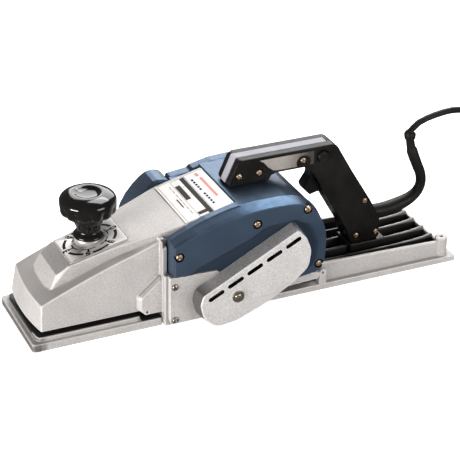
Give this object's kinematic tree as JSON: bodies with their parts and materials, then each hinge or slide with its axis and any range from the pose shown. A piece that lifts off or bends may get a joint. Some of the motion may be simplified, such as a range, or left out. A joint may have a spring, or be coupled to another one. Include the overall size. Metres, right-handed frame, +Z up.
{
  "type": "portable electric planer",
  "caption": "Hand-held electric planer: split sole with a depth knob, belt-driven cutter drum, blue motor housing, D-handle with trigger, and a mains cord.",
  "frame": {"origin": "on the rear base's bottom face, on the sole's centre line, halfway along the sole's 415 mm length", "axes": "+X towards the rear and the cord, -Y towards the belt cover, +Z up out of the sole"},
  "size_m": [0.5646, 0.138, 0.1358],
  "materials": {
    "blue_paint": "satin blue paint over cast metal",
    "cast_aluminium": "tumbled cast aluminium, warm light grey",
    "black_plastic": "glossy moulded black plastic",
    "black_rubber": "satin black rubber",
    "steel": "turned and zinc-plated steel",
    "copper_zinc": "yellow-passivated screws, brass and copper",
    "printed_plate": "thin printed plate and bright trim",
    "carbon": "pressed carbon"
  },
  "bodies": {
    "frame": {"main_frame": "cast_aluminium", "rear_base": "cast_aluminium", "motor_housing": "blue_paint", "near_side_cover": "blue_paint", "far_side_cover": "blue_paint", "chip_chute": "blue_paint", "side_plate": "cast_aluminium", "belt_cover": "cast_aluminium", "belt_cover_screw": "steel", "handle_half_near": "black_plastic", "handle_half_far": "black_plastic", "plug": "black_plastic", "switch_body": "black_plastic", "cord_guard": "black_rubber", "cord": "black_rubber", "cord_coil": "black_rubber", "drive_belt": "black_rubber", "knob_collar": "steel", "depth_spring": "steel", "stator": "steel", "drum_bearing_near": "steel", "drum_bearing_far": "steel", "motor_bearing_near": "steel", "motor_bearing_far": "steel", "plate_screw_1": "steel", "plate_screw_2": "steel", "cover_screw_1": "copper_zinc", "cover_screw_2": "copper_zinc", "cover_screw_3": "copper_zinc", "cover_screw_4": "copper_zinc", "handle_screw_1": "copper_zinc", "handle_screw_2": "copper_zinc", "handle_screw_3": "copper_zinc", "handle_screw_4": "copper_zinc", "handle_screw_5": "copper_zinc", "handle_screw_6": "copper_zinc", "brush_holder_a": "copper_zinc", "brush_holder_b": "copper_zinc", "dial_plate": "printed_plate", "name_plate": "printed_plate", "handle_trim": "printed_plate", "carbon_brush_a": "carbon", "carbon_brush_b": "carbon"},
    "front_shoe": {"front_shoe": "cast_aluminium"},
    "depth_knob": {"knob": "black_plastic", "knob_spindle": "steel"},
    "cutter_drum": {"drum_body": "cast_aluminium", "blade_a": "steel", "blade_b": "steel", "blade_clamp_a": "steel", "blade_clamp_b": "steel", "drum_pulley": "steel"},
    "armature": {"armature_shaft": "steel", "armature_core": "steel", "commutator": "copper_zinc", "cooling_fan": "black_plastic", "motor_pulley": "steel"},
    "trigger": {"trigger": "black_plastic"},
    "lock_button": {"lock_button": "black_plastic"}
  },
  "joints": [
    {"name": "depth_knob_turn", "type": "hinge", "parent": "frame", "child": "depth_knob", "pos_m": [-0.1388, 0, 0.078], "axis": [0, 0, 1], "range_deg": [0, 300]},
    {"name": "shoe_slide", "type": "slide", "parent": "frame", "child": "front_shoe", "axis": [0, 0, 1], "range_m": [0, 0.003], "deforming": ["depth_spring"]},
    {"name": "drum_spin", "type": "hinge", "parent": "frame", "child": "cutter_drum", "pos_m": [-0.044, 0, 0.0255], "axis": [0, 1, 0], "continuous": true},
    {"name": "armature_spin", "type": "hinge", "parent": "frame", "child": "armature", "pos_m": [0.02, 0, 0.06], "axis": [0, 1, 0], "continuous": true},
    {"name": "trigger_pull", "type": "slide", "parent": "frame", "child": "trigger", "axis": [1, 0, 0], "range_m": [0, 0.005], "stiffness_N_per_m": 600, "springref_m": -0.003},
    {"name": "lock_press", "type": "slide", "parent": "frame", "child": "lock_button", "axis": [0, 1, 0], "range_m": [0, 0.003], "stiffness_N_per_m": 500, "springref_m": -0.002}
  ],
  "couplings": [
    {"joint": "depth_knob_turn", "follows": "shoe_slide", "rad_per_m": 1745.3},
    {"joint": "armature_spin", "follows": "drum_spin", "ratio": 0.875}
  ]
}
